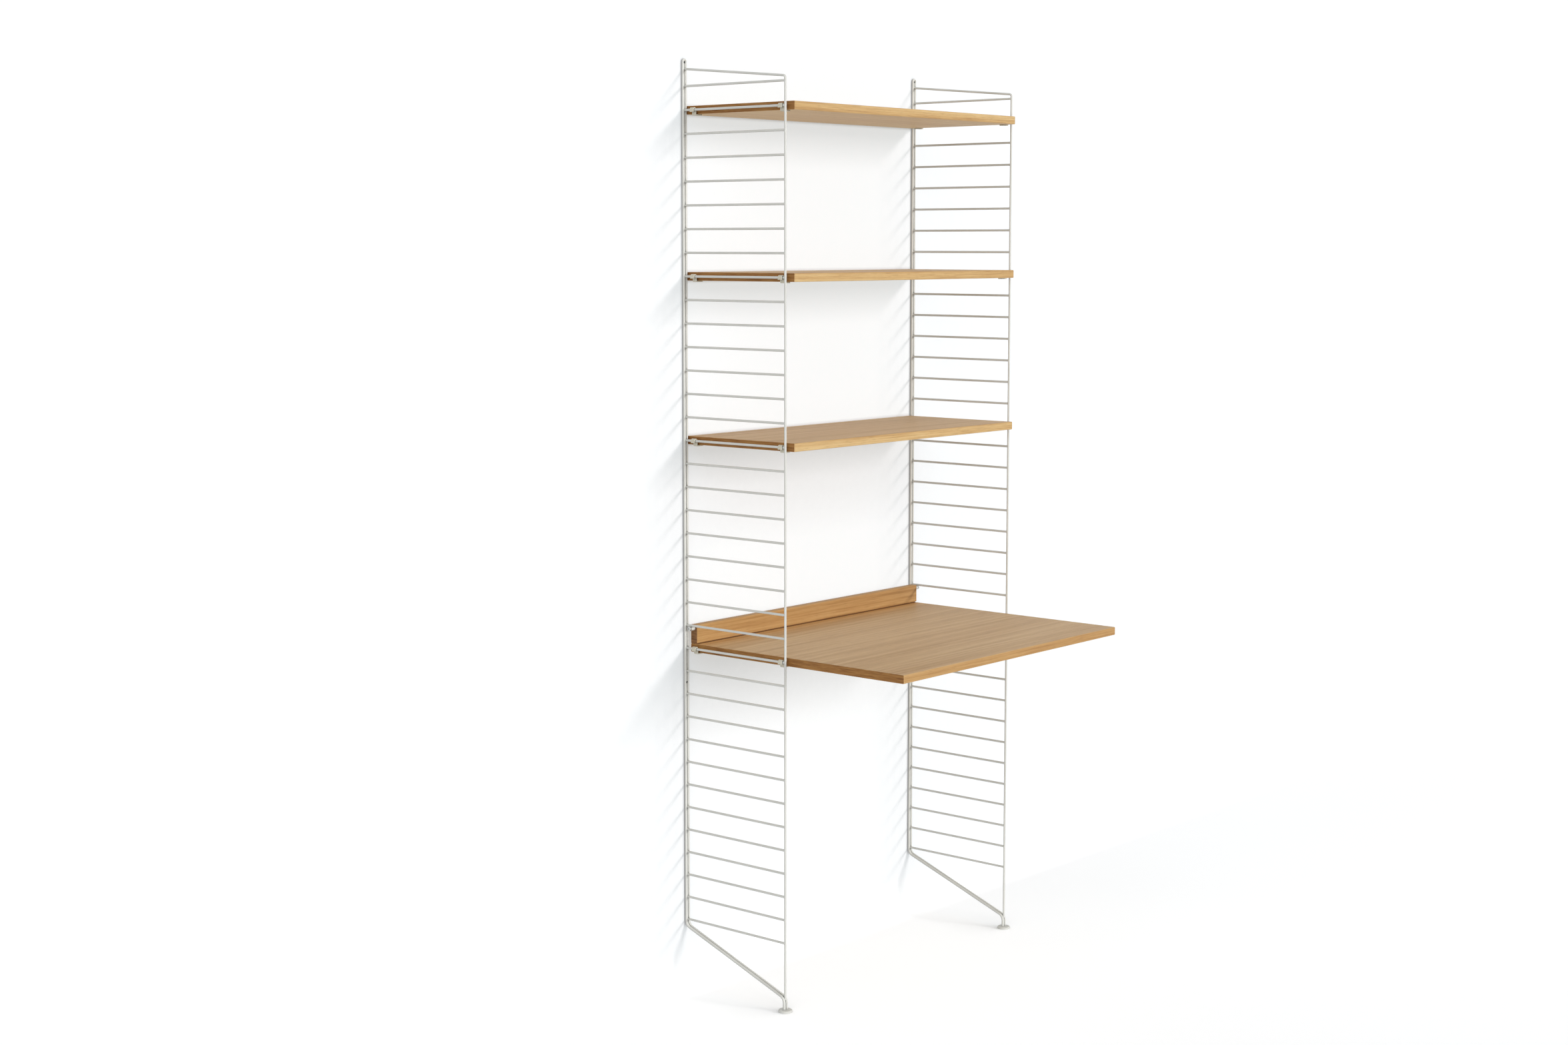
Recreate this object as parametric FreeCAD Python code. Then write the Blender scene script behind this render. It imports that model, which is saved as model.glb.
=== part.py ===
"""Wall-held shelving unit with a desk: two welded wire panels, three shelves and a desk hung on hooks.

Millimetres, +Z up, X along the shelves, +Y towards the wall. The origin is on the floor, in the middle
of the box around the whole unit.
"""
import FreeCAD
import Part
import math
import os

Vector = FreeCAD.Vector

# Boards
board_length = 780.0
board_thickness = 18.0
board_round = 2.0            # rounded long edges
board_end_bevel = 0.6
shelf_depth = 300.0
shelf_wall_gap = 1.0
shelf_overhang = 17.0        # shelf past the axis of the front wires
desk_depth = 580.0
desk_wall_gap = 8.0
backboard_thickness = 18.0
backboard_rise = 1.0         # top of the backboard above the axis of the rung beside it
shadow_gap_height = 2.5      # joint that shows as a dark line between the desk and the backboard
shadow_gap_depth = 4.0

# Wire panels
frame_wire = 6.0             # diameter of the bent rear wire
leg_gap = 0.8                # between the two legs of the rear wire
leg_clearance = 2.6          # end of a board to the rear legs
leg_bend = 16.0              # bend radius above and below the slanting run
neck_height = 30.0           # floor to the front corner of the slanting run
slant_rise = 104.5           # front corner to rear corner of the slanting run
bend_to_rung = 2.38          # end of the rear bend to the axis of the lowest rung
front_wire = 5.0             # diameter of the front wire and of its top arm
front_wire_drop = 4.0        # front wire past the front corner of the slanting run
rung_wire = 5.0
rung_count = 37
rung_pitch = 50.0
weld_seat = 1.5              # rungs and arms into the groove between the legs
loop_rise = 58.0             # highest rung to the top of the loop
arm_front_rise = 10.0        # highest rung to the front corner of the arm
arm_rear_drop = 22.0         # top of the loop down to the rear end of the arm
arm_bend = 6.0

# Rungs that carry the boards, counted from the top
upper_shelf_rung_index = 1
middle_shelf_rung_index = 8
lower_shelf_rung_index = 15
desk_rung_index = 24

# Holes for the wall screws, between the legs
screw_hole = 5.0
screw_sink = 9.0             # diameter of the countersink on the room side
eye_drop = 8.0               # top of the loop down to the upper hole
lower_hole_rung_index = 25   # the lower hole is halfway between this rung and the one below it

# Foot discs
foot_diameter = 30.0
foot_thickness = 5.0
foot_bevel = 1.5

# Hooks under the board ends
hook_width = 11.0
hook_wall = 2.2              # thickness of the bow and of both legs
hook_clearance = 0.3         # around the rung
hook_lip_drop = 4.4          # outer lip below the rung axis
hook_front_gap = 3.5         # front wire to the front hook
hook_rear_gap = 16.5         # rear legs to the rear hook
hook_bevel = 0.5
tongue_thickness = 2.6
tongue_reach = 14.0          # tongue under the board

# Screws that hold the hooks to the boards
hook_screw_shank = 3.5
hook_screw_head = 6.4
hook_screw_cover = 6.6       # wood left above the tip
cross_width = 1.0            # cross recess in the head
cross_length = 3.6
cross_depth = 1.0
pilot_clearance = 0.05       # between a shank and its hole, on the radius and at the tip

# Stops that keep the desk from tipping: a sleeve under the rung above the desk, on a screw
stop_sleeve = 8.4
stop_clearance = 0.3         # sleeve to rung
stop_overhang = 1.0          # sleeve past the outer side of the rung
stop_shank = 5.0
stop_depth = 30.0            # screw into the end of the backboard
stop_head = 9.4
stop_head_height = 4.0
stop_head_bevel = 0.8
socket_width = 4.0           # hexagon socket, across the flats
socket_depth = 2.4

# Dowels between the desk and its backboard
dowel_diameter = 8.0
dowel_cover = 6.0            # wood left below a dowel's hole
dowel_in_backboard = 19.0
dowel_count = 4
dowel_end_inset = 60.0       # from the ends of the boards
dowel_end_room = 1.0

same_place = 1e-6            # points nearer than this count as one

# Places that follow from the sizes above
leg_offset = (frame_wire + leg_gap) / 2
board_end_gap = leg_clearance + frame_wire / 2 + leg_offset    # end of a board to the rung axis
panel_spacing = board_length + 2 * board_end_gap
panel_depth = shelf_depth + shelf_wall_gap - shelf_overhang - frame_wire / 2
wall_y = (desk_depth + desk_wall_gap) / 2
rear_wire_y = wall_y - frame_wire / 2
front_wire_y = rear_wire_y - panel_depth
groove_y = rear_wire_y - frame_wire / 2 + weld_seat            # where rungs and arms end
slant_angle = math.atan(slant_rise / panel_depth)
rear_bend_reach = leg_bend * math.tan(math.pi / 4 - slant_angle / 2)
lowest_rung_height = neck_height + slant_rise + rear_bend_reach + bend_to_rung
top_rung_height = lowest_rung_height + (rung_count - 1) * rung_pitch
loop_top = top_rung_height + loop_rise
throat_radius = rung_wire / 2 + hook_clearance
hook_radius = throat_radius + hook_wall
sides = {"left": -1, "right": 1}
shelf_rungs = {
    "upper_shelf": upper_shelf_rung_index,
    "middle_shelf": middle_shelf_rung_index,
    "lower_shelf": lower_shelf_rung_index,
}
hook_rows = {
    "front": front_wire_y + front_wire / 2 + hook_front_gap + hook_width / 2,
    "rear": rear_wire_y - frame_wire / 2 - hook_rear_gap - hook_width / 2,
}


def rung_height(index):
    """Height of a rung's axis, counted from the top."""
    return top_rung_height - index * rung_pitch


def panel_x(side):
    """Middle plane of a panel."""
    return sides[side] * panel_spacing / 2


def cylinder(radius, start, end):
    return Part.makeCylinder(radius, start.distanceToPoint(end), start, end - start)


def cone(start_radius, end_radius, start, end):
    return Part.makeCone(start_radius, end_radius, start.distanceToPoint(end), start, end - start)


def cut_from(shape, *tools):
    """Cut all the tools out of a shape and keep it as one plain solid."""
    return shape.cut(list(tools)).removeSplitter().Solids[0]


def edges_across(shape, axis):
    """Edges that lie square to one axis."""
    return [edge for edge in shape.Edges if getattr(edge.BoundBox, f"{axis}Length") < same_place]


def bent_wire(corners, bends, diameter):
    """Round wire along straight runs between the corners, with a tangent bend at each inner corner."""
    edges = []
    start = corners[0]
    for before, corner, after, radius in zip(corners, corners[1:], corners[2:], bends):
        back = (before - corner).normalize()
        ahead = (after - corner).normalize()
        half_angle = back.getAngle(ahead) / 2
        reach = radius / math.tan(half_angle)
        middle = (back + ahead).normalize() * (radius / math.sin(half_angle) - radius)
        bend_start = corner + back * reach
        bend_end = corner + ahead * reach
        if start.distanceToPoint(bend_start) > same_place:
            edges.append(Part.LineSegment(start, bend_start).toShape())
        edges.append(Part.Arc(bend_start, corner + middle, bend_end).toShape())
        start = bend_end
    edges.append(Part.LineSegment(start, corners[-1]).toShape())
    circle = Part.Circle(corners[0], corners[1] - corners[0], diameter / 2)
    section = Part.Face(Part.Wire(circle.toShape()))
    return Part.Wire(edges).makePipe(section).Solids[0]


def wall_screw_hole(x, height):
    """Through hole with a countersink that opens towards the room."""
    room_side = Vector(x, rear_wire_y - frame_wire / 2, height)
    wall_side = Vector(x, wall_y, height)
    past = Vector(0, frame_wire, 0)
    sink_depth = Vector(0, (screw_sink - screw_hole) / 2, 0)
    hole = cylinder(screw_hole / 2, room_side - past, wall_side + past)
    sink = cone(screw_sink / 2, screw_hole / 2, room_side, room_side + sink_depth)
    return hole.fuse(sink)


def rear_frame(side):
    """One wire: from the foot along the slanting run, up the wall, over the loop and down again."""
    x = panel_x(side)
    up = [
        Vector(x - leg_offset, front_wire_y, foot_thickness),
        Vector(x - leg_offset, front_wire_y, neck_height),
        Vector(x - leg_offset, rear_wire_y, neck_height + slant_rise),
        Vector(x - leg_offset, rear_wire_y, loop_top - frame_wire / 2),
    ]
    down = [Vector(2 * x - point.x, point.y, point.z) for point in reversed(up)]
    bends = [leg_bend, leg_bend, leg_offset, leg_offset, leg_bend, leg_bend]
    wire = bent_wire(up + down, bends, frame_wire)
    lower_hole = rung_height(lower_hole_rung_index) - rung_pitch / 2
    return cut_from(wire, wall_screw_hole(x, loop_top - eye_drop), wall_screw_hole(x, lower_hole))


def front_upright(side, frame):
    """Front wire with its top bent back into the sloping arm, seated on the rear frame at both ends."""
    x = panel_x(side)
    corners = [
        Vector(x, front_wire_y, neck_height - front_wire_drop),
        Vector(x, front_wire_y, top_rung_height + arm_front_rise),
        Vector(x, groove_y, loop_top - arm_rear_drop),
    ]
    return cut_from(bent_wire(corners, [arm_bend], front_wire), frame)


def rungs(side):
    """All rungs of a panel, each cut to seat on the front wire and in the groove of the rear legs."""
    x = panel_x(side)
    posts = []
    for offset, y, diameter in (
        (0, front_wire_y, front_wire),
        (-leg_offset, rear_wire_y, frame_wire),
        (leg_offset, rear_wire_y, frame_wire),
    ):
        low = Vector(x + offset, y, -rung_wire)
        high = Vector(x + offset, y, rung_wire)
        posts.append(cylinder(diameter / 2, low, high))
    rung = cut_from(cylinder(rung_wire / 2, Vector(x, front_wire_y, 0), Vector(x, groove_y, 0)), *posts)
    return Part.Compound([rung.translated(Vector(0, 0, rung_height(index))) for index in range(rung_count)])


def foot_disc(side):
    """Flat disc under the two legs, with a bevelled upper rim."""
    disc = Part.makeCylinder(foot_diameter / 2, foot_thickness, Vector(panel_x(side), front_wire_y, 0))
    rim = [edge for edge in edges_across(disc, "Z") if edge.CenterOfMass.z > same_place]
    return disc.makeChamfer(foot_bevel, rim)


def panel(side):
    """One welded wire panel and its foot."""
    frame = rear_frame(side)
    return {
        f"{side}_rear_frame": frame,
        f"{side}_front_wire": front_upright(side, frame),
        f"{side}_rungs": rungs(side),
        f"{side}_foot_disc": foot_disc(side),
    }


def rounded_board(depth, thickness, front_y, bottom):
    """Board across the unit, with rounded long edges and lightly bevelled ends."""
    box = Part.makeBox(board_length, depth, thickness, Vector(-board_length / 2, front_y, bottom))
    long_edges = [edge for edge in box.Edges if edge.BoundBox.XLength > same_place]
    rounded = box.makeFillet(board_round, long_edges)
    return rounded.makeChamfer(board_end_bevel, edges_across(rounded, "X"))


def hook_screw_places(axis_height):
    """Middle of each hook screw's head, on the underside of the hook's tongue."""
    inset = board_end_gap + tongue_reach / 2
    height = axis_height - board_thickness / 2 - tongue_thickness
    places = []
    for side in sides:
        for row_y in hook_rows.values():
            places.append(Vector(panel_x(side) - sides[side] * inset, row_y, height))
    return places


def hook_screw_shape(place, room):
    """Countersunk head and shank, or with some room around them the hole for them."""
    sink_depth = Vector(0, 0, (hook_screw_head - hook_screw_shank) / 2)
    length = Vector(0, 0, tongue_thickness + board_thickness - hook_screw_cover + room)
    shank_radius = hook_screw_shank / 2 + room
    head = cone(hook_screw_head / 2 + room, shank_radius, place, place + sink_depth)
    return head.fuse(cylinder(shank_radius, place, place + length))


def hook_screws(axis_height):
    """The four screws under one board, each with a cross recess."""
    screws = []
    for place in hook_screw_places(axis_height):
        recess = []
        for length, width in ((cross_length, cross_width), (cross_width, cross_length)):
            corner = place - Vector(length / 2, width / 2, 0)
            recess.append(Part.makeBox(length, width, cross_depth, corner))
        screws.append(cut_from(hook_screw_shape(place, 0), *recess))
    return Part.Compound(screws)


def hung_board(depth, wall_gap, axis_height):
    """Board carried by four hooks, level with its rungs, with pilot holes for the hook screws."""
    front_y = wall_y - wall_gap - depth
    board = rounded_board(depth, board_thickness, front_y, axis_height - board_thickness / 2)
    holes = [hook_screw_shape(place, pilot_clearance) for place in hook_screw_places(axis_height)]
    return cut_from(board, *holes)


def hook_outline():
    """Hook seen along the rung: lip outside it, bow over it, leg inside it and tongue under the board.

    The rung's axis is the origin and +X points to the board.
    """
    tongue_top = -board_thickness / 2
    tongue_low = tongue_top - tongue_thickness
    tongue_tip = board_end_gap + tongue_reach
    lip_low = -hook_lip_drop
    heel = hook_wall * (1 - math.sqrt(0.5))

    def line(*ends):
        return Part.LineSegment(*[Vector(x, 0, z) for x, z in ends])

    def arc(*points):
        return Part.Arc(*[Vector(x, 0, z) for x, z in points])

    lip_outside = line((-hook_radius, lip_low), (-hook_radius, 0))
    bow_outside = arc((-hook_radius, 0), (0, hook_radius), (hook_radius, 0))
    leg_to_board = line((hook_radius, 0), (hook_radius, tongue_top))
    seat = line((hook_radius, tongue_top), (tongue_tip, tongue_top))
    tip = line((tongue_tip, tongue_top), (tongue_tip, tongue_low))
    underside = line((tongue_tip, tongue_low), (hook_radius, tongue_low))
    round_heel = arc(
        (hook_radius, tongue_low),
        (throat_radius + heel, tongue_low + heel),
        (throat_radius, tongue_low + hook_wall),
    )
    leg_to_rung = line((throat_radius, tongue_low + hook_wall), (throat_radius, 0))
    bow_inside = arc((throat_radius, 0), (0, throat_radius), (-throat_radius, 0))
    lip_inside = line((-throat_radius, 0), (-throat_radius, lip_low))
    lip_end = line((-throat_radius, lip_low), (-hook_radius, lip_low))
    outside = [lip_outside, bow_outside, leg_to_board, seat, tip, underside, round_heel]
    inside = [leg_to_rung, bow_inside, lip_inside, lip_end]
    return Part.Wire([edge.toShape() for edge in outside + inside])


def hook(side):
    """Hook for one side of the unit, with the rung's axis as its origin."""
    plain = Part.Face(hook_outline()).extrude(Vector(0, hook_width, 0))
    plain.translate(Vector(0, -hook_width / 2, 0))
    bevelled = plain.makeChamfer(hook_bevel, edges_across(plain, "Y"))
    head = Vector(board_end_gap + tongue_reach / 2, 0, -board_thickness / 2 - tongue_thickness)
    drilled = cut_from(bevelled, hook_screw_shape(head, pilot_clearance))
    if sides[side] > 0:
        return drilled.mirror(Vector(0, 0, 0), Vector(1, 0, 0))
    return drilled


def hooks(name, axis_height):
    """The four hooks of one board, by name."""
    parts = {}
    for side in sides:
        for row, row_y in hook_rows.items():
            place = Vector(panel_x(side), row_y, axis_height)
            parts[f"{name}_{side}_{row}_hook"] = hook(side).translated(place)
    return parts


def shelf(name):
    """A shelf with its hooks and their screws."""
    axis_height = rung_height(shelf_rungs[name])
    parts = {f"{name}_board": hung_board(shelf_depth, shelf_wall_gap, axis_height)}
    parts.update(hooks(name, axis_height))
    parts[f"{name}_hook_screws"] = hook_screws(axis_height)
    return parts


def desk_top():
    return rung_height(desk_rung_index) + board_thickness / 2


def backboard_y():
    """Middle of the backboard's thickness."""
    return wall_y - desk_wall_gap - backboard_thickness / 2


def dowels(end_room, side_room):
    """The dowels between desk and backboard, or with some room around them the holes for them."""
    first = -board_length / 2 + dowel_end_inset
    step = (board_length - 2 * dowel_end_inset) / (dowel_count - 1)
    low = desk_top() - board_thickness + dowel_cover + dowel_end_room - end_room
    high = desk_top() + dowel_in_backboard + end_room
    shapes = []
    for number in range(dowel_count):
        x = first + step * number
        ends = [Vector(x, backboard_y(), low), Vector(x, backboard_y(), high)]
        shapes.append(cylinder(dowel_diameter / 2 + side_room, *ends))
    return shapes


def stop_axis(side, outward):
    """Point on the axis of a stop screw, measured outwards from the end of the backboard."""
    drop = rung_wire / 2 + stop_clearance + stop_sleeve / 2
    x = sides[side] * (board_length / 2 + outward)
    return Vector(x, backboard_y(), rung_height(desk_rung_index - 1) - drop)


def stop_seat(side):
    """Outer end of a stop's sleeve, where the screw's head bears on it."""
    return stop_axis(side, board_end_gap + rung_wire / 2 + stop_overhang)


def backboard():
    """Low board along the rear edge of the desk, bored for the dowels and the stop screws.

    A shallow rebate along its lower front edge leaves a dark joint line above the desk.
    """
    height = rung_pitch - board_thickness / 2 + backboard_rise
    front_y = backboard_y() - backboard_thickness / 2
    board = rounded_board(backboard_thickness, height, front_y, desk_top())
    low_corner = Vector(-board_length / 2, front_y, desk_top())
    tools = dowels(dowel_end_room, pilot_clearance)
    tools.append(Part.makeBox(board_length, shadow_gap_depth, shadow_gap_height, low_corner))
    for side in sides:
        bottom = stop_axis(side, -stop_depth - pilot_clearance)
        tools.append(cylinder(stop_shank / 2 + pilot_clearance, stop_axis(side, 0), bottom))
    return cut_from(board, *tools)


def stop_tube(side):
    """Sleeve that bears up against the rung above the desk."""
    tube = cylinder(stop_sleeve / 2, stop_axis(side, 0), stop_seat(side))
    bore = cylinder(stop_shank / 2 + pilot_clearance, stop_axis(side, 0), stop_seat(side))
    return cut_from(tube, bore)


def hexagon_socket(side, mouth):
    """Tool for a hexagon socket that opens outwards."""
    flat_count = 6
    corner_radius = socket_width / 2 / math.cos(math.pi / flat_count)
    corners = []
    for number in range(flat_count + 1):
        angle = 2 * math.pi * number / flat_count
        corners.append(mouth + Vector(0, math.cos(angle), math.sin(angle)) * corner_radius)
    return Part.Face(Part.makePolygon(corners)).extrude(Vector(-sides[side] * socket_depth, 0, 0))


def stop_screw(side):
    """Screw through the sleeve into the end of the backboard, with a bevelled head."""
    seat = stop_seat(side)
    top = seat + Vector(sides[side] * stop_head_height, 0, 0)
    head = cylinder(stop_head / 2, seat, top)
    rim = [edge for edge in edges_across(head, "X") if abs(edge.CenterOfMass.x - top.x) < same_place]
    bevelled = head.makeChamfer(stop_head_bevel, rim)
    shank = cylinder(stop_shank / 2, stop_axis(side, -stop_depth), seat)
    return cut_from(bevelled.fuse(shank), hexagon_socket(side, top))


def desk():
    """Desk board with its backboard, hooks, stops and hidden dowels."""
    axis_height = rung_height(desk_rung_index)
    board = hung_board(desk_depth, desk_wall_gap, axis_height)
    parts = {
        "desk_board": cut_from(board, *dowels(dowel_end_room, pilot_clearance)),
        "desk_backboard": backboard(),
        "desk_backboard_dowels": Part.Compound(dowels(0, 0)),
    }
    parts.update(hooks("desk", axis_height))
    parts["desk_hook_screws"] = hook_screws(axis_height)
    for side in sides:
        parts[f"desk_{side}_stop_sleeve"] = stop_tube(side)
        parts[f"desk_{side}_stop_screw"] = stop_screw(side)
    return parts


def main():
    parts = {}
    for side in sides:
        parts.update(panel(side))
    for name in shelf_rungs:
        parts.update(shelf(name))
    parts.update(desk())
    os.makedirs("parts", exist_ok=True)
    for name, shape in parts.items():
        shape.exportStep(f"parts/{name}.step")


main()
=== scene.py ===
"""Shelving unit with a desk: oak boards on pale wire panels, in front of a white wall."""
import math

import bmesh
import bpy
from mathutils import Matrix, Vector


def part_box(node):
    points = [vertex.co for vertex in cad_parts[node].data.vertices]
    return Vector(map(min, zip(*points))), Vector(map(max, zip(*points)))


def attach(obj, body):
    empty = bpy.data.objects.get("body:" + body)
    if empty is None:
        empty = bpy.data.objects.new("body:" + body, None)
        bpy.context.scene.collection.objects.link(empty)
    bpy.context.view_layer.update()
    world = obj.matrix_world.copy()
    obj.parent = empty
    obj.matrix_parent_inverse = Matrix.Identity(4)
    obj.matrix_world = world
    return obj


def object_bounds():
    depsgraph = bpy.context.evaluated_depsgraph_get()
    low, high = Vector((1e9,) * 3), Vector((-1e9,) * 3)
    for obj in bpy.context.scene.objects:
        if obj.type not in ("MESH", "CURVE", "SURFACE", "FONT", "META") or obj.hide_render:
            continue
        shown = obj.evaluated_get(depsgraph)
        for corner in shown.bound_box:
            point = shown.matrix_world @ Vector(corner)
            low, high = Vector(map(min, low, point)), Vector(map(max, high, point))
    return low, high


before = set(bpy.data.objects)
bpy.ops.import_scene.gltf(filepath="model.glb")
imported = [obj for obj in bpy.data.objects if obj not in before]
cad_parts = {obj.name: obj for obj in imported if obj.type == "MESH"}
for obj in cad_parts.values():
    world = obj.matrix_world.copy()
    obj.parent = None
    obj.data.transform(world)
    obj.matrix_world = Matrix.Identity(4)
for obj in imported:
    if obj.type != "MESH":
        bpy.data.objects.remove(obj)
cad_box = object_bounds()

SIDES = ("left", "right")
WHITE = (1, 1, 1, 1)
NOISE_SPAN = (0.3, 0.7)      # where most values of a noise lie

# Camera, in metres and radians; sensor and lens in millimetres
CAMERA_PLACE = (-4.0388, -3.0990, 1.6163)
CAMERA_YAW = 0.8633          # from +Y towards +X
CAMERA_PITCH = -0.0991
CAMERA_SENSOR = 36
CAMERA_LENS = 53.44
CAMERA_SHIFT = -0.03

# Wires and their welds, in metres and degrees
RUNG_COUNT = 37
RUNG_RADIUS = 0.0025
FRONT_WIRE_RADIUS = 0.0025
LEG_RADIUS = 0.003
LEG_OFFSET = 0.0034          # legs of the rear frame from the middle of the panel
FOOT_THICKNESS = 0.005
WELD_SIZE = 0.0010           # legs of the small fillet at each joint
WELD_TIP = 0.1               # share of that size left at both ends of a fillet
WELD_HOLLOW = 0.32           # a half would make the face of a fillet flat
WELD_STEPS = 8
FRONT_WELD_ARC = (20, 160)   # around a rung, from its side
REAR_WELD_ARC = (-65, 65)

# Oak: noise scales per metre, along a board, across it and through it
BAND_SCALE = (1.3, 80, 170)
FIBRE_SCALE = (11, 420, 420)
TONE_SCALE = (0.5, 9, 9)
PORE_SCALE = (38, 1500, 1500)
RING_SCALE = (1, 24, 420)
BAND_SHARE = 0.47            # of bands, fibres and slow changes of tone in the grain
FIBRE_SHARE = 0.38
TONE_SHARE = 0.15
PORE_SHARE = 0.35
PORE_LIMITS = (0.60, 0.72)   # noise values between which a pore begins
GRAIN_STOPS = (0.36, 0.47, 0.56, 0.66)
RING_STOPS = (0.32, 0.50, 0.70)
FACE_LIMITS = (0.55, 0.85)   # how squarely a face looks one way, from not counted to fully counted
BOARD_END_TILT = 0.04        # slope of the rings in the end grain, in radians
BACKBOARD_END_TILT = 0.75
OAK_ROUGHNESS = (0.46, 0.60)
OAK_SPECULAR = 0.25
OAK_BUMP = (0.22, 0.0004)    # strength, and height in metres
BOUNCE_REACH = 0.08          # how far from an upright board a top takes on its warm light
BOUNCE_OPENNESS = (0.50, 0.97)           # from fully tinted to open
BOUNCE_TINT = (1.02, 0.88, 0.66, 1)
JOINT_REACH = 0.005          # how far from a joint the oak gets painted shade
JOINT_OPENNESS = (0.25, 0.80)            # from fully shaded to open, as those below
JOINT_SHADE = 0.92

# Paint, zinc and beech
CLOUD_SCALE = 22             # noise scales of the paint, per metre
SPECK_SCALE = 2600
PEEL_SCALE = 1100
CLOUD_SHARE = 0.7
SPECK_SHARE = 0.3
COAT_STOPS = (0.32, 0.66)
CREVICE_REACH = 0.006        # how far from a joint the paint gets painted shade
CREVICE_OPENNESS = (0.2, 0.85)
CREVICE_SHADE = 0.75
REAR_LIMITS = (-0.2, 0.8)    # how much a side looks to the rear, from pale to full painted shade
REAR_SHADE = 0.38
WALL_SIDE_SHADE = 0.65       # painted rear shade for the frames that lie on the wall
ZINC_SCRATCH_SCALE = (1800, 9000, 9000)
ZINC_ROUGHNESS = (0.24, 0.40)
BEECH_FLECK_SCALE = (900, 900, 90)
BEECH_STOPS = (0.35, 0.65)

# Room, in metres
WALL_GAP = 0.0006            # from the rear wires to the wall
STAGE_HALF_WIDTH = 9.0
COVE_RADIUS = 0.08           # between floor and wall
COVE_STEPS = 12
WALL_HEIGHT = 5.0
WALL_PAINT = (0.45, 0.428, 0.426, 1)
WALL_GLOW = (0.530, 0.575, 0.591, 1)     # own light that lifts the bare wall to white
FLOOR_PAINT = (0.79, 0.80, 0.80, 1)
FLOOR_GLOW = (0.468, 0.473, 0.481, 1)
PAINT_GRAIN = 0.02
CONTACT_REACH = 0.008        # how far from a touching piece the wall gets a painted contact shadow
CONTACT_OPENNESS = (0.15, 0.9)
CONTACT_LIGHT = 0.1          # share of its own light that is left there
FOOT_SHADE_REACH = 0.11      # how far behind a foot the floor gets a painted shadow
FOOT_SHADE_FACING = (0.17, -0.87, 0.46)
FOOT_OPENNESS = (0.75, 0.98)
FOOT_SHADE = 0.45
BOARD_SHADE_REACH = 0.24     # how far below a low board the wall gets a painted shadow
BOARD_SHADE_FACING = (0.10, -0.35, 0.93)
BOARD_OPENNESS = (0.1, 1.0)
BOARD_SHADE = 0.38
BOARD_SHADE_HEIGHTS = (1.1, 1.35)        # fully up to the first, none above the second
HOLE_BACK_RADIUS = 0.004     # discs that keep the screw holes of the panels dark
HOLE_BACK_CORNERS = 32
UPPER_HOLE_DROP = 0.008      # top of a panel down to its upper screw hole
LOWER_HOLE_RUNG = 10         # rung below its lower screw hole; the lowest rung is 0

# Light, in degrees; azimuths turn to the right of the front
KEY_AZIMUTHS = (7, 12, 17, 22)
KEY_SLOPE = 0.765            # rise of the key lamps, so that all shadows of one rung fall on one line
KEY_SPREAD = 4.5
KEY_LEVEL = 0.13
FILL_SPREAD = 60
LEFT_FILL = (-70, 25, FILL_SPREAD, 0.28)     # azimuth, elevation, spread and level
BACK_FILL = (180, 20, FILL_SPREAD, 0.15)
SKY_LEVEL = 0.40
GROUND_LEVEL = 0.58
HORIZON = (-0.1, 0.1)        # slopes between which the ground's light turns into the sky's


def linear(red, green, blue):
    """Linear colour from the 0 to 255 values of a screen colour."""
    values = []
    for value in (red, green, blue):
        share = value / 255
        values.append(share / 12.92 if share <= 0.04045 else ((share + 0.055) / 1.055) ** 2.4)
    return (*values, 1.0)


def palette(*tones):
    """Linear colours of several screen colours."""
    return [linear(*tone) for tone in tones]


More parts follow.
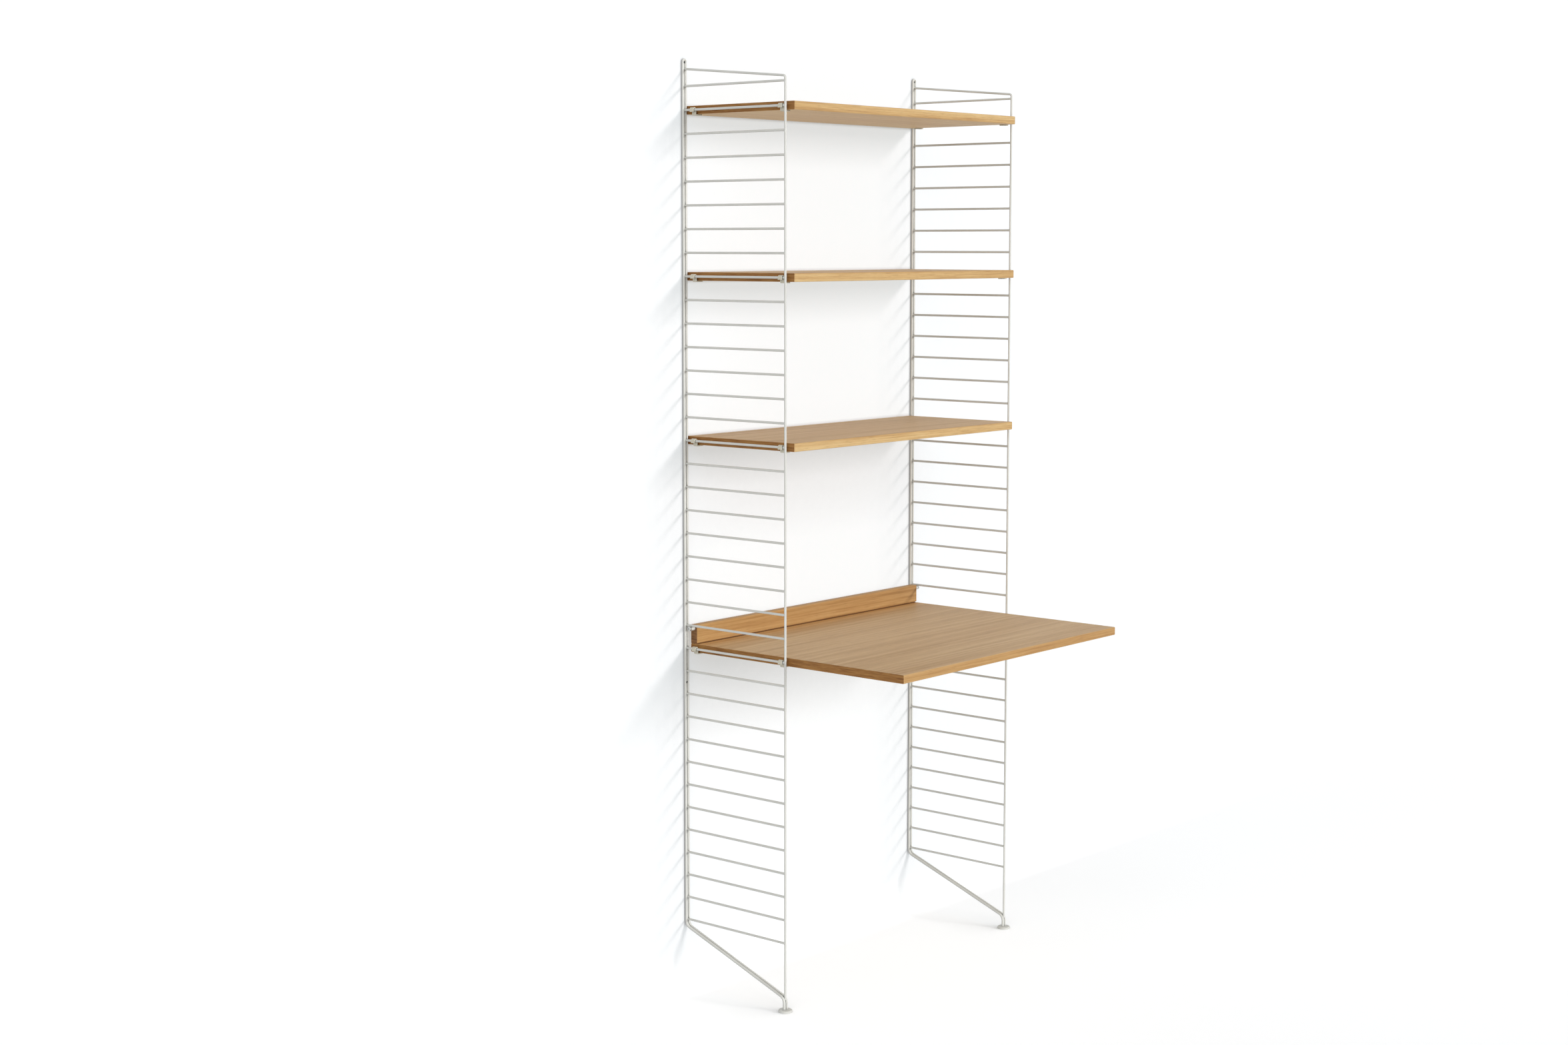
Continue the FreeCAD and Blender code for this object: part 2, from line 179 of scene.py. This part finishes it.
class Nodes:
    """Short way to add nodes to one material or world."""

    def __init__(self, owner):
        owner.use_nodes = True
        self.owner = owner
        self.tree = owner.node_tree
        self.shader = self.tree.nodes.get("Principled BSDF")

    def feed(self, socket, value):
        """Give an input a value, or link it to the output of another node."""
        if isinstance(value, bpy.types.NodeSocket):
            self.tree.links.new(value, socket)
        else:
            socket.default_value = value

    def add(self, kind, inputs=None, **settings):
        """Add a node; its inputs are given by name or by number."""
        node = self.tree.nodes.new(kind)
        for key, value in settings.items():
            setattr(node, key, value)
        for key, value in (inputs or {}).items():
            self.feed(node.inputs[key], value)
        return node

    def surface(self, inputs):
        """Give inputs of the surface shader."""
        for name, value in inputs.items():
            self.feed(self.shader.inputs[name], value)

    def place(self, output="Object"):
        return self.add("ShaderNodeTexCoord").outputs[output]

    def split(self, vector):
        """X, Y and Z of a vector."""
        return tuple(self.add("ShaderNodeSeparateXYZ", {"Vector": vector}).outputs)

    def scaled(self, vector, scale, rotation=(0, 0, 0)):
        inputs = {"Vector": vector, "Scale": scale, "Rotation": rotation}
        return self.add("ShaderNodeMapping", inputs).outputs["Vector"]

    def noise(self, vector, scale=1.0, detail=2.0, roughness=0.5, distortion=0.0):
        inputs = {"Vector": vector, "Scale": scale, "Detail": detail}
        inputs.update({"Roughness": roughness, "Distortion": distortion})
        return self.add("ShaderNodeTexNoise", inputs).outputs["Fac"]

    def ramp(self, factor, stops, colours):
        """Colours that follow a factor, each at its stop."""
        node = self.add("ShaderNodeValToRGB", {"Fac": factor})
        elements = node.color_ramp.elements
        while len(elements) < len(stops):
            elements.new(0.5)
        for element, stop, colour in zip(elements, stops, colours):
            element.position = stop
            element.color = colour
        return node.outputs["Color"]

    def range(self, value, source, target):
        """Carry a value over from one (low, high) range to another, and stay within it."""
        inputs = {"Value": value, "From Min": source[0], "From Max": source[1]}
        inputs.update({"To Min": target[0], "To Max": target[1]})
        return self.add("ShaderNodeMapRange", inputs).outputs["Result"]

    def math(self, operation, *values):
        node = self.add("ShaderNodeMath", dict(enumerate(values)), operation=operation)
        return node.outputs["Value"]

    def blend(self, first, first_share, second, second_share):
        """Sum of two values, each times its share."""
        parts = self.math("MULTIPLY", first, first_share), self.math("MULTIPLY", second, second_share)
        return self.math("ADD", *parts)

    def mix(self, factor, first, second, blend_type="MIX"):
        """Mix two colours."""
        node = self.add("ShaderNodeMix", data_type="RGBA", blend_type=blend_type)
        sockets = {socket.identifier: socket for socket in (*node.inputs, *node.outputs)}
        self.feed(sockets["Factor_Float"], factor)
        self.feed(sockets["A_Color"], first)
        self.feed(sockets["B_Color"], second)
        return sockets["Result_Color"]

    def bump(self, height, strength, distance):
        inputs = {"Height": height, "Strength": strength, "Distance": distance}
        return self.add("ShaderNodeBump", inputs).outputs["Normal"]

    def openness(self, reach, facing=None):
        """1 on open surfaces, towards 0 where something stands within reach, on the facing side."""
        node = self.add("ShaderNodeAmbientOcclusion", {"Distance": reach}, samples=5)
        if facing:
            direction = self.add("ShaderNodeCombineXYZ", dict(enumerate(facing)))
            self.feed(node.inputs["Normal"], direction.outputs["Vector"])
        return node.outputs["AO"]

    def seen(self):
        """1 for what the camera sees, directly, in reflections or through glass, and else 0."""
        path = self.add("ShaderNodeLightPath").outputs
        seen = self.math("MAXIMUM", path["Is Camera Ray"], path["Is Glossy Ray"])
        return self.math("MAXIMUM", seen, path["Is Transmission Ray"])


def new_material(name):
    return Nodes(bpy.data.materials.new(name))


def face_shares(nodes):
    """How far a point belongs to the edges, the ends, the underside and the top of a board."""
    x, y, z = nodes.split(nodes.place("Normal"))
    outlooks = {
        "edge": nodes.math("ABSOLUTE", y),
        "end": nodes.math("ABSOLUTE", x),
        "underside": nodes.math("MULTIPLY", z, -1.0),
        "top": z,
    }
    return {name: nodes.range(outlook, FACE_LIMITS, (0, 1)) for name, outlook in outlooks.items()}


def long_grain(nodes, place, fibres):
    """Straight grain along X: bands, fibres and slow changes of tone."""
    bands = nodes.noise(nodes.scaled(place, BAND_SCALE), detail=3, roughness=0.55, distortion=0.3)
    tone = nodes.noise(nodes.scaled(place, TONE_SCALE), detail=1)
    grain = nodes.blend(bands, BAND_SHARE, fibres, FIBRE_SHARE)
    return nodes.blend(grain, 1.0, tone, TONE_SHARE)


def end_grain(nodes, place, tones, tilt):
    """Growth rings at the ends of a board."""
    turned = nodes.scaled(place, RING_SCALE, (tilt, 0, 0))
    rings = nodes.noise(turned, detail=3, roughness=0.6, distortion=0.5)
    return nodes.ramp(rings, RING_STOPS, tones)


def oak_near_joints(nodes, colour, top_share):
    """Painted warm bounce light on a top beside an upright board, and painted shade in the joints."""
    # Painted warm bounce light from the upright board onto the top.
    beside_board = nodes.range(nodes.openness(BOUNCE_REACH), BOUNCE_OPENNESS, (1, 0))
    warm = nodes.mix(1.0, colour, BOUNCE_TINT, "MULTIPLY")
    colour = nodes.mix(nodes.math("MULTIPLY", top_share, beside_board), colour, warm)
    # Painted shade in the joints between boards and parts.
    in_joint = nodes.range(nodes.openness(JOINT_REACH), JOINT_OPENNESS, (JOINT_SHADE, 0))
    joint_shade_brown = linear(104, 52, 14)
    return nodes.mix(in_joint, colour, joint_shade_brown)


def oak(name, tones, edge_tones, painted_light_under_tones, end_tones, end_tilt):
    """Oiled oak with its own tones for edges, paler tones on the underside as painted light from below,
    and end grain at both ends.
    """
    nodes = new_material(name)
    place = nodes.place()
    share = face_shares(nodes)
    fibres = nodes.noise(nodes.scaled(place, FIBRE_SCALE), detail=3, roughness=0.6)
    pore_noise = nodes.noise(nodes.scaled(place, PORE_SCALE), detail=1, roughness=0.4)
    pores = nodes.range(pore_noise, PORE_LIMITS, (0, 1))
    grain = long_grain(nodes, place, fibres)
    colour = nodes.ramp(grain, GRAIN_STOPS, tones)
    colour = nodes.mix(share["edge"], colour, nodes.ramp(grain, GRAIN_STOPS, edge_tones))
    colour = nodes.mix(share["underside"], colour, nodes.ramp(grain, GRAIN_STOPS, painted_light_under_tones))
    pore_brown = linear(132, 90, 50)
    colour = nodes.mix(nodes.math("MULTIPLY", pores, PORE_SHARE), colour, pore_brown)
    colour = nodes.mix(share["end"], colour, end_grain(nodes, place, end_tones, end_tilt))
    relief = nodes.blend(fibres, 0.5, pores, -0.5)
    nodes.surface({
        "Base Color": oak_near_joints(nodes, colour, share["top"]),
        "Roughness": nodes.range(fibres, NOISE_SPAN, OAK_ROUGHNESS),
        "Specular IOR Level": OAK_SPECULAR,
        "Normal": nodes.bump(relief, *OAK_BUMP),
    })
    return nodes.owner


def board_oak(name, edge_tones):
    """Oak of the shelves and the desk, which differ in their edges."""
    tones = palette((183, 143, 99), (203, 168, 123), (214, 181, 136), (224, 194, 150))
    # Paler tones for the underside: painted light from below.
    painted_light_under_tones = palette((200, 163, 114), (218, 183, 134), (226, 194, 145), (232, 205, 159))
    end_tones = palette((127, 83, 39), (155, 108, 56), (173, 127, 71))
    return oak(name, tones, edge_tones, painted_light_under_tones, end_tones, BOARD_END_TILT)


def shelf_oak():
    edge_tones = palette((184, 142, 90), (205, 167, 112), (214, 180, 126), (223, 193, 141))
    return board_oak("oak_shelf", edge_tones)


def desk_oak():
    edge_tones = palette((169, 122, 72), (189, 146, 91), (198, 157, 103), (207, 170, 116))
    return board_oak("oak_desk", edge_tones)


def backboard_oak():
    tones = palette((161, 118, 68), (183, 140, 87), (192, 151, 97), (202, 163, 110))
    end_tones = palette((98, 65, 39), (130, 92, 58), (152, 112, 73))
    return oak("oak_backboard", tones, tones, tones, end_tones, BACKBOARD_END_TILT)


def powder_coat(name, tones, rear_shade, roughness, peel):
    """Satin paint with fine orange peel and uneven gloss, and painted shade in crevices and on rear
    sides.

    The three tones are the darkest and the palest of the paint, and the one in the shade.
    """
    nodes = new_material(name)
    place = nodes.place()
    dark, light, shade = tones
    cloud = nodes.noise(place, CLOUD_SCALE, detail=3)
    speck = nodes.noise(place, SPECK_SCALE)
    paint = nodes.ramp(nodes.blend(cloud, CLOUD_SHARE, speck, SPECK_SHARE), COAT_STOPS, (dark, light))
    # Painted shade: crevices and sides that look to the rear are mixed towards the shade tone.
    rearward = nodes.split(nodes.place("Normal"))[1]
    rear_shade_share = nodes.range(rearward, REAR_LIMITS, (0, rear_shade))
    crevice = nodes.range(nodes.openness(CREVICE_REACH), CREVICE_OPENNESS, (CREVICE_SHADE, 0))
    nodes.surface({
        "Base Color": nodes.mix(nodes.math("MAXIMUM", crevice, rear_shade_share), paint, shade),
        "Roughness": nodes.range(cloud, NOISE_SPAN, roughness),
        "Normal": nodes.bump(nodes.noise(place, PEEL_SCALE), peel, distance=0.0002),
    })
    return nodes.owner


def hook_paint():
    tones = palette((212, 206, 186), (221, 216, 198), (112, 104, 86))
    return powder_coat("beige_hook", tones, REAR_SHADE, roughness=(0.37, 0.48), peel=0.10)


def wire_paint(name, rear_shade):
    tones = palette((218, 218, 212), (227, 227, 221), (84, 88, 88))
    return powder_coat(name, tones, rear_shade, roughness=(0.35, 0.46), peel=0.08)


def zinc_steel():
    """Bright zinc-plated steel with a faint turned finish."""
    nodes = new_material("zinc_steel")
    place = nodes.place()
    cloud = nodes.noise(place, scale=450, detail=3)
    scratch = nodes.noise(nodes.scaled(place, ZINC_SCRATCH_SCALE))
    nodes.surface({
        "Base Color": nodes.ramp(cloud, NOISE_SPAN, palette((176, 177, 176), (206, 206, 203))),
        "Metallic": 1.0,
        "Roughness": nodes.range(scratch, NOISE_SPAN, ZINC_ROUGHNESS),
        "Normal": nodes.bump(scratch, strength=0.12, distance=0.0001),
    })
    return nodes.owner


def beech():
    """Raw beech: pale, with short flecks along the dowel."""
    nodes = new_material("raw_beech")
    flecks = nodes.noise(nodes.scaled(nodes.place(), BEECH_FLECK_SCALE))
    nodes.surface({
        "Base Color": nodes.ramp(flecks, BEECH_STOPS, palette((186, 146, 108), (214, 180, 142))),
        "Roughness": 0.6,
        "Normal": nodes.bump(flecks, strength=0.2, distance=0.0002),
    })
    return nodes.owner


def dress(ending, material):
    """Give a material to the CAD nodes whose names have this ending, or one of several."""
    for name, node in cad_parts.items():
        if name.endswith(ending):
            for slot in node.material_slots:
                slot.material = material


def dress_all():
    dress("_shelf_board", shelf_oak())
    dress("desk_board", desk_oak())
    dress("desk_backboard", backboard_oak())
    dress("_hook", hook_paint())
    dress(("_screw", "_screws"), zinc_steel())
    paint = wire_paint("painted_wire", REAR_SHADE)
    dress(("_front_wire", "_rungs", "_foot_disc", "_sleeve"), paint)
    make_welds(paint)
    dress("_rear_frame", wire_paint("painted_rear_frame", WALL_SIDE_SHADE))
    dress("_dowels", beech())


def panel_middle(side):
    """Middle of a wire panel, from left to right."""
    low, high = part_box(f"{side}_rungs")
    return (low.x + high.x) / 2


def rung_heights(side):
    """Heights of the rungs of a wire panel, from the lowest."""
    low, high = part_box(f"{side}_rungs")
    pitch = (high.z - low.z - 2 * RUNG_RADIUS) / (RUNG_COUNT - 1)
    return [low.z + RUNG_RADIUS + number * pitch for number in range(RUNG_COUNT)]


def fillet_ring(root, first, second):
    """Cross-section of a small hollow weld fillet between two touching wires."""
    hollow = root + ((first - root) + (second - root)) * WELD_HOLLOW
    return [root, first, hollow, second]


def weld_steps(arc):
    """Angle around the rung and size of the fillet, step by step. It tapers to both ends."""
    start, end = arc
    for step in range(WELD_STEPS + 1):
        share = step / WELD_STEPS
        size = WELD_SIZE * math.sqrt(math.sin(math.pi * share) + WELD_TIP ** 2)
        yield math.radians(start + (end - start) * share), size


def front_weld(place, over):
    """Fillet above or below a rung where it meets the front wire; over is 1 or -1."""
    rings = []
    for turn, size in weld_steps(FRONT_WELD_ARC):
        across = RUNG_RADIUS * math.cos(turn)
        depth = math.sqrt(FRONT_WIRE_RADIUS ** 2 - across ** 2)
        root = place + Vector((across, depth, over * RUNG_RADIUS * math.sin(turn)))
        rings.append(fillet_ring(root, root + Vector((0, size, 0)), root + Vector((0, 0, over * size))))
    return rings


def rear_weld(place, side):
    """Fillet between a rung and one leg of the rear frame; side is 1 or -1."""
    rings = []
    for turn, size in weld_steps(REAR_WELD_ARC):
        across = RUNG_RADIUS * math.cos(turn)
        rise = RUNG_RADIUS * math.sin(turn)
        start = math.asin((across - LEG_OFFSET) / LEG_RADIUS)
        moved = start + size / LEG_RADIUS * math.cos(turn)
        root = place + Vector((side * across, -LEG_RADIUS * math.cos(start), rise))
        on_leg = place + Vector((
            side * (LEG_OFFSET + LEG_RADIUS * math.sin(moved)),
            -LEG_RADIUS * math.cos(moved),
            rise + size * math.sin(turn),
        ))
        rings.append(fillet_ring(root, root - Vector((0, size, 0)), on_leg))
    return rings


def foot_weld(place):
    """Fillet around a leg on its foot disc."""
    rings = []
    count = 3 * WELD_STEPS
    for step in range(count):
        turn = 2 * math.pi * step / count
        outward = Vector((math.cos(turn), math.sin(turn), 0))
        root = place + outward * LEG_RADIUS
        rings.append(fillet_ring(root, root + Vector((0, 0, WELD_SIZE)), root + outward * WELD_SIZE))
    return rings


def panel_welds(side):
    """Rings of every weld fillet of one wire panel, each with a flag: do they close around a leg?"""
    x = panel_middle(side)
    front_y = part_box(f"{side}_front_wire")[0].y + FRONT_WIRE_RADIUS
    rear_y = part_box(f"{side}_rear_frame")[1].y - LEG_RADIUS
    welds = []
    for height in rung_heights(side):
        for sign in (-1, 1):
            welds.append((front_weld(Vector((x, front_y, height)), sign), False))
            welds.append((rear_weld(Vector((x, rear_y, height)), sign), False))
    for sign in (-1, 1):
        welds.append((foot_weld(Vector((x + sign * LEG_OFFSET, front_y, FOOT_THICKNESS))), True))
    return welds


def skin(rings, start, is_loop):
    """Faces over a row of four-sided rings, whose points are numbered from start."""
    count = len(rings)
    faces = []
    for step in range(count if is_loop else count - 1):
        near = start + 4 * step
        far = start + 4 * ((step + 1) % count)
        for corner in range(4):
            after = (corner + 1) % 4
            faces.append((near + corner, near + after, far + after, far + corner))
    if not is_loop:
        last = start + 4 * (count - 1)
        faces.append((start + 3, start + 2, start + 1, start))
        faces.append((last, last + 1, last + 2, last + 3))
    return faces


def weld_mesh(side):
    """All weld fillets of one wire panel, as closed skins in one mesh."""
    points = []
    faces = []
    for rings, is_loop in panel_welds(side):
        faces += skin(rings, len(points), is_loop)
        points += [point for ring in rings for point in ring]
    shells = bmesh.new()
    corners = [shells.verts.new(point) for point in points]
    for face in faces:
        shells.faces.new([corners[number] for number in face]).smooth = True
    bmesh.ops.recalc_face_normals(shells, faces=shells.faces)
    mesh = bpy.data.meshes.new(f"{side}_welds")
    shells.to_mesh(mesh)
    shells.free()
    return mesh


def make_welds(material):
    for side in SIDES:
        piece = bpy.data.objects.new(f"{side}_welds", weld_mesh(side))
        bpy.context.scene.collection.objects.link(piece)
        piece.data.materials.append(material)
        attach(piece, "frame_and_desk")


def room_shade(nodes, level_share, height):
    """Painted shadow: share of its own light that the wall loses below low boards and the floor behind
    feet.
    """
    below_board = nodes.openness(BOARD_SHADE_REACH, BOARD_SHADE_FACING)
    low_share = nodes.range(height, BOARD_SHADE_HEIGHTS, (BOARD_SHADE, 0))
    upright_share = nodes.math("SUBTRACT", 1.0, level_share)
    on_wall = nodes.range(below_board, BOARD_OPENNESS, (1, 0))
    on_wall = nodes.math("MULTIPLY", on_wall, nodes.math("MULTIPLY", low_share, upright_share))
    behind_foot = nodes.openness(FOOT_SHADE_REACH, FOOT_SHADE_FACING)
    on_floor = nodes.range(behind_foot, FOOT_OPENNESS, (FOOT_SHADE, 0))
    return nodes.math("ADD", on_wall, nodes.math("MULTIPLY", on_floor, level_share))


def room_glow(nodes, level_share, height):
    """Own light of wall and floor, which shows to the camera and in reflections only."""
    # Painted contact shadow: the own light fades next to touching pieces.
    open_share = nodes.range(nodes.openness(CONTACT_REACH), CONTACT_OPENNESS, (CONTACT_LIGHT, 1))
    bright_share = nodes.math("SUBTRACT", 1.0, room_shade(nodes, level_share, height))
    strength = nodes.math("MULTIPLY", open_share, bright_share)
    inputs = {
        "Color": nodes.mix(level_share, WALL_GLOW, FLOOR_GLOW),
        "Strength": nodes.math("MULTIPLY", nodes.seen(), strength),
    }
    return nodes.add("ShaderNodeEmission", inputs).outputs["Emission"]


def room_material():
    """Pale paint that reaches white where nothing shades it. Seen from behind, it is clear."""
    nodes = new_material("room_paint")
    nodes.tree.nodes.remove(nodes.shader)
    geometry = nodes.add("ShaderNodeNewGeometry").outputs
    level_share = nodes.math("ABSOLUTE", nodes.split(geometry["Normal"])[2])
    height = nodes.split(geometry["Position"])[2]
    grain = nodes.range(nodes.noise(nodes.place(), scale=60), NOISE_SPAN, (0, PAINT_GRAIN))
    colour = nodes.mix(grain, nodes.mix(level_share, WALL_PAINT, FLOOR_PAINT), WHITE)
    paint = nodes.add("ShaderNodeBsdfDiffuse", {"Color": colour}).outputs["BSDF"]
    glow = room_glow(nodes, level_share, height)
    front = nodes.add("ShaderNodeAddShader", {0: paint, 1: glow}).outputs["Shader"]
    clear = nodes.add("ShaderNodeBsdfTransparent").outputs["BSDF"]
    choice = nodes.add("ShaderNodeMixShader", {"Fac": geometry["Backfacing"], 1: front, 2: clear})
    nodes.feed(nodes.tree.nodes["Material Output"].inputs["Surface"], choice.outputs["Shader"])
    return nodes.owner


def stage_sheet(name, profile, material):
    """Sheet across the stage along a profile of (y, z) points, facing the room.

    It takes shadows, but neither shades nor tints the unit, whose back is then lit as well.
    """
    points = []
    for y, z in profile:
        points += [(-STAGE_HALF_WIDTH, y, z), (STAGE_HALF_WIDTH, y, z)]
    starts = range(0, 2 * (len(profile) - 1), 2)
    faces = [(start, start + 1, start + 3, start + 2) for start in starts]
    mesh = bpy.data.meshes.new(name)
    mesh.from_pydata(points, [], faces)
    mesh.polygons.foreach_set("use_smooth", [True] * len(faces))
    mesh.materials.append(material)
    thing = bpy.data.objects.new(name, mesh)
    bpy.context.scene.collection.objects.link(thing)
    thing.visible_diffuse = False
    thing.visible_shadow = False


def make_room():
    """Floor that turns up into the wall in a small cove, and the floor behind that wall."""
    wall_y = cad_box[1].y + WALL_GAP
    cove_y = wall_y - COVE_RADIUS
    profile = [(-STAGE_HALF_WIDTH, 0)]
    for step in range(COVE_STEPS + 1):
        turn = math.pi / 2 * step / COVE_STEPS
        profile.append((cove_y + COVE_RADIUS * math.sin(turn), COVE_RADIUS * (1 - math.cos(turn))))
    profile.append((wall_y, WALL_HEIGHT))
    material = room_material()
    stage_sheet("backdrop", profile, material)
    stage_sheet("rear_floor", [(cove_y, 0), (STAGE_HALF_WIDTH, 0)], material)


def dark_wall_material():
    """Wall in deep shade."""
    nodes = new_material("dark_wall")
    dust = nodes.noise(nodes.place(), scale=900)
    nodes.surface({
        "Base Color": nodes.ramp(dust, NOISE_SPAN, palette((38, 28, 20), (58, 44, 32))),
        "Roughness": 0.9,
    })
    return nodes.owner


def hole_heights(side):
    """Heights of the two screw holes of a wire panel."""
    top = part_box(f"{side}_rear_frame")[1].z
    rungs = rung_heights(side)
    lower = (rungs[LOWER_HOLE_RUNG] + rungs[LOWER_HOLE_RUNG + 1]) / 2
    return {"upper": top - UPPER_HOLE_DROP, "lower": lower}


def make_hole_backs():
    """Discs behind the screw holes, unseen by the camera. They stop the light from the rear."""
    material = dark_wall_material()
    y = cad_box[1].y + WALL_GAP / 2
    for side in SIDES:
        for name, height in hole_heights(side).items():
            bpy.ops.mesh.primitive_circle_add(
                vertices=HOLE_BACK_CORNERS, radius=HOLE_BACK_RADIUS, fill_type="NGON",
                location=(panel_middle(side), y, height), rotation=(math.pi / 2, 0, 0))
            disc = bpy.context.object
            disc.name = f"{side}_{name}_hole_back"
            disc.data.materials.append(material)
            disc.visible_camera = False


def sun(name, azimuth, elevation, spread, level):
    """Even light from far away. At level 1, a face that looks at it shows its colour as written."""
    data = bpy.data.lights.new(name, "SUN")
    data.angle = math.radians(spread)
    data.energy = level * math.pi
    lamp = bpy.data.objects.new(name, data)
    bpy.context.scene.collection.objects.link(lamp)
    lamp.rotation_euler = (math.radians(90 - elevation), 0, math.radians(azimuth))


def make_sky():
    """Light from all around, which the camera and reflections show as white."""
    world = bpy.data.worlds.new("studio")
    bpy.context.scene.world = world
    nodes = Nodes(world)
    slope = nodes.split(nodes.place("Generated"))[2]
    level = nodes.range(slope, HORIZON, (GROUND_LEVEL, SKY_LEVEL))
    background = nodes.tree.nodes["Background"]
    nodes.feed(background.inputs["Color"], WHITE)
    nodes.feed(background.inputs["Strength"], nodes.math("MAXIMUM", nodes.seen(), level))


def make_light():
    """Key lamps, fill lamps and sky."""
    for azimuth in KEY_AZIMUTHS:
        elevation = math.degrees(math.atan(KEY_SLOPE * math.sin(math.radians(azimuth))))
        sun(f"key_{azimuth}", azimuth, elevation, KEY_SPREAD, KEY_LEVEL)
    sun("left_fill", *LEFT_FILL)
    sun("back_fill", *BACK_FILL)
    make_sky()


def make_camera():
    data = bpy.data.cameras.new("camera")
    data.sensor_width = CAMERA_SENSOR
    data.lens = CAMERA_LENS
    data.shift_y = CAMERA_SHIFT
    camera = bpy.data.objects.new("camera", data)
    bpy.context.scene.collection.objects.link(camera)
    camera.location = CAMERA_PLACE
    camera.rotation_euler = (math.pi / 2 + CAMERA_PITCH, 0, -CAMERA_YAW)
    bpy.context.scene.camera = camera


bpy.context.scene.view_settings.view_transform = "Standard"
dress_all()
make_room()
make_hole_backs()
make_light()
make_camera()
